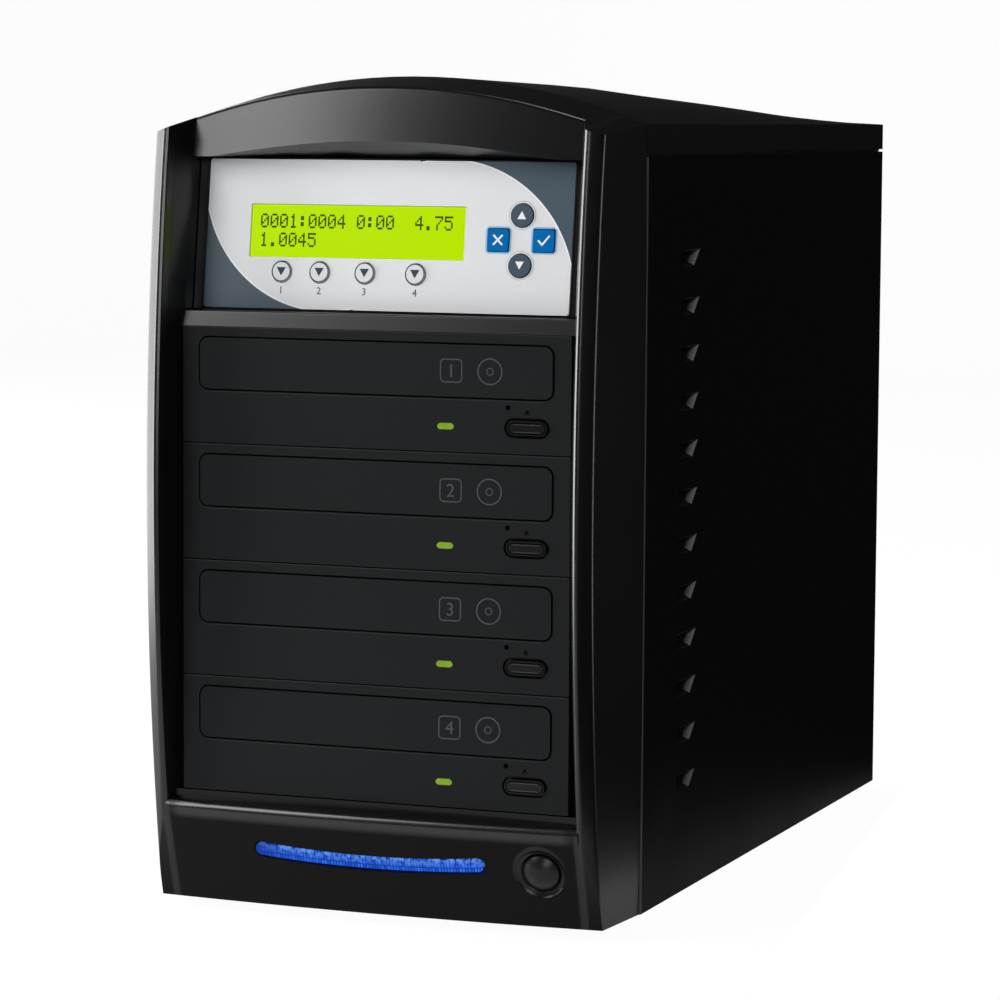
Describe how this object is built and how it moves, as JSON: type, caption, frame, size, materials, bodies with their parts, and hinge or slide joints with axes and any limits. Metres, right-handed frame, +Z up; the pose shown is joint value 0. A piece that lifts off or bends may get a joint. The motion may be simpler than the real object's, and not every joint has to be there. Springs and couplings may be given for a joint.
{
  "type": "disc duplicator",
  "caption": "Desktop tower disc duplicator: black case, tilted control panel with display and keys over a stack of tray drives, light bar and power button below.",
  "frame": {"origin": "middle of the footprint, on the surface that the feet stand on", "axes": "+Z up, -Y towards the front with the drives, +X to the right as seen from the front"},
  "size_m": [0.1766, 0.3569, 0.3013],
  "materials": {
    "bezel_plastic": "satin black moulding, fine grain",
    "case_paint": "satin black powder coat",
    "plated_steel": "zinc-plated sheet",
    "drive_plastic": "matte black, fine grain",
    "tray_plastic": "matte black",
    "overlay_film": "printed light grey and slate film",
    "display": "yellow-green backlit display",
    "key_light": "light grey, semi-gloss",
    "key_slate": "slate, semi-gloss",
    "key_blue": "blue, semi-gloss",
    "button_plastic": "semi-gloss black",
    "circuit_board": "green solder mask",
    "light_lens": "clear blue lens",
    "lamp_lens": "pale green lens",
    "rubber": "matte",
    "fan_plastic": "matte black",
    "inlet_plastic": "matte black",
    "steel": "bright",
    "brass": "plain"
  },
  "bodies": {
    "case": {"front_bezel": "bezel_plastic", "top_cover": "case_paint", "right_side_panel": "case_paint", "left_side_panel": "case_paint", "chassis_floor": "plated_steel", "front_bulkhead": "plated_steel", "rear_panel": "plated_steel", "drive_cage": "plated_steel", "rubber_feet": "rubber", "case_screws": "steel", "panel_frame": "bezel_plastic", "panel_overlay": "overlay_film", "display_module": "display", "panel_board": "circuit_board", "light_bar": "light_lens", "light_board": "circuit_board", "power_switch": "button_plastic", "supply_case": "plated_steel", "mains_inlet": "inlet_plastic", "exhaust_fan_frame": "fan_plastic", "controller_board": "circuit_board", "board_standoffs": "brass", "drive_lights": "lamp_lens", "drive_1_body": "plated_steel", "drive_1_face": "drive_plastic", "drive_1_deck": "steel", "drive_2_body": "plated_steel", "drive_2_face": "drive_plastic", "drive_2_deck": "steel", "drive_3_body": "plated_steel", "drive_3_face": "drive_plastic", "drive_3_deck": "steel", "drive_4_body": "plated_steel", "drive_4_face": "drive_plastic", "drive_4_deck": "steel"},
    "tray_1": {"drive_1_tray": "tray_plastic", "drive_1_tray_front": "drive_plastic"},
    "tray_2": {"drive_2_tray": "tray_plastic", "drive_2_tray_front": "drive_plastic"},
    "tray_3": {"drive_3_tray": "tray_plastic", "drive_3_tray_front": "drive_plastic"},
    "tray_4": {"drive_4_tray": "tray_plastic", "drive_4_tray_front": "drive_plastic"},
    "eject_1": {"drive_1_eject_button": "button_plastic"},
    "eject_2": {"drive_2_eject_button": "button_plastic"},
    "eject_3": {"drive_3_eject_button": "button_plastic"},
    "eject_4": {"drive_4_eject_button": "button_plastic"},
    "power": {"power_button": "button_plastic"},
    "function_key_1": {"function_key_1": "key_light"},
    "function_key_2": {"function_key_2": "key_light"},
    "function_key_3": {"function_key_3": "key_light"},
    "function_key_4": {"function_key_4": "key_light"},
    "up_key": {"up_key": "key_slate"},
    "down_key": {"down_key": "key_slate"},
    "escape_key": {"escape_key": "key_blue"},
    "enter_key": {"enter_key": "key_blue"},
    "rocker": {"supply_rocker": "inlet_plastic"},
    "supply_rotor": {"supply_fan_rotor": "fan_plastic"},
    "exhaust_rotor": {"exhaust_fan_rotor": "fan_plastic"}
  },
  "joints": [
    {"name": "tray_1_slide", "type": "slide", "parent": "case", "child": "tray_1", "axis": [0, -1, 0], "range_m": [0, 0.133]},
    {"name": "tray_2_slide", "type": "slide", "parent": "case", "child": "tray_2", "axis": [0, -1, 0], "range_m": [0, 0.133]},
    {"name": "tray_3_slide", "type": "slide", "parent": "case", "child": "tray_3", "axis": [0, -1, 0], "range_m": [0, 0.133]},
    {"name": "tray_4_slide", "type": "slide", "parent": "case", "child": "tray_4", "axis": [0, -1, 0], "range_m": [0, 0.133]},
    {"name": "eject_1_press", "type": "slide", "parent": "case", "child": "eject_1", "axis": [0, 1, 0], "range_m": [0, 0.001], "stiffness_N_per_m": 500},
    {"name": "eject_2_press", "type": "slide", "parent": "case", "child": "eject_2", "axis": [0, 1, 0], "range_m": [0, 0.001], "stiffness_N_per_m": 500},
    {"name": "eject_3_press", "type": "slide", "parent": "case", "child": "eject_3", "axis": [0, 1, 0], "range_m": [0, 0.001], "stiffness_N_per_m": 500},
    {"name": "eject_4_press", "type": "slide", "parent": "case", "child": "eject_4", "axis": [0, 1, 0], "range_m": [0, 0.001], "stiffness_N_per_m": 500},
    {"name": "power_press", "type": "slide", "parent": "case", "child": "power", "axis": [-0.0634, 0.959, 0.2764], "range_m": [0, 0.002], "stiffness_N_per_m": 600},
    {"name": "function_key_1_press", "type": "slide", "parent": "case", "child": "function_key_1", "axis": [0, 0.9917, -0.1288], "range_m": [0, 0.0005], "stiffness_N_per_m": 1500},
    {"name": "function_key_2_press", "type": "slide", "parent": "case", "child": "function_key_2", "axis": [0, 0.9917, -0.1288], "range_m": [0, 0.0005], "stiffness_N_per_m": 1500},
    {"name": "function_key_3_press", "type": "slide", "parent": "case", "child": "function_key_3", "axis": [0, 0.9917, -0.1288], "range_m": [0, 0.0005], "stiffness_N_per_m": 1500},
    {"name": "function_key_4_press", "type": "slide", "parent": "case", "child": "function_key_4", "axis": [0, 0.9917, -0.1288], "range_m": [0, 0.0005], "stiffness_N_per_m": 1500},
    {"name": "up_key_press", "type": "slide", "parent": "case", "child": "up_key", "axis": [0, 0.9917, -0.1288], "range_m": [0, 0.0005], "stiffness_N_per_m": 1500},
    {"name": "down_key_press", "type": "slide", "parent": "case", "child": "down_key", "axis": [0, 0.9917, -0.1288], "range_m": [0, 0.0005], "stiffness_N_per_m": 1500},
    {"name": "escape_key_press", "type": "slide", "parent": "case", "child": "escape_key", "axis": [0, 0.9917, -0.1288], "range_m": [0, 0.0005], "stiffness_N_per_m": 1500},
    {"name": "enter_key_press", "type": "slide", "parent": "case", "child": "enter_key", "axis": [0, 0.9917, -0.1288], "range_m": [0, 0.0005], "stiffness_N_per_m": 1500},
    {"name": "rocker_tilt", "type": "hinge", "parent": "case", "child": "rocker", "pos_m": [0.045, 0.17128, 0.2495], "axis": [1, 0, 0], "range_deg": [-24, 0]},
    {"name": "supply_rotor_spin", "type": "hinge", "parent": "case", "child": "supply_rotor", "pos_m": [-0.029, 0.15768, 0.2295], "axis": [0, 1, 0], "continuous": true},
    {"name": "exhaust_rotor_spin", "type": "hinge", "parent": "case", "child": "exhaust_rotor", "pos_m": [0, 0.15168, 0.122], "axis": [0, 1, 0], "continuous": true}
  ]
}
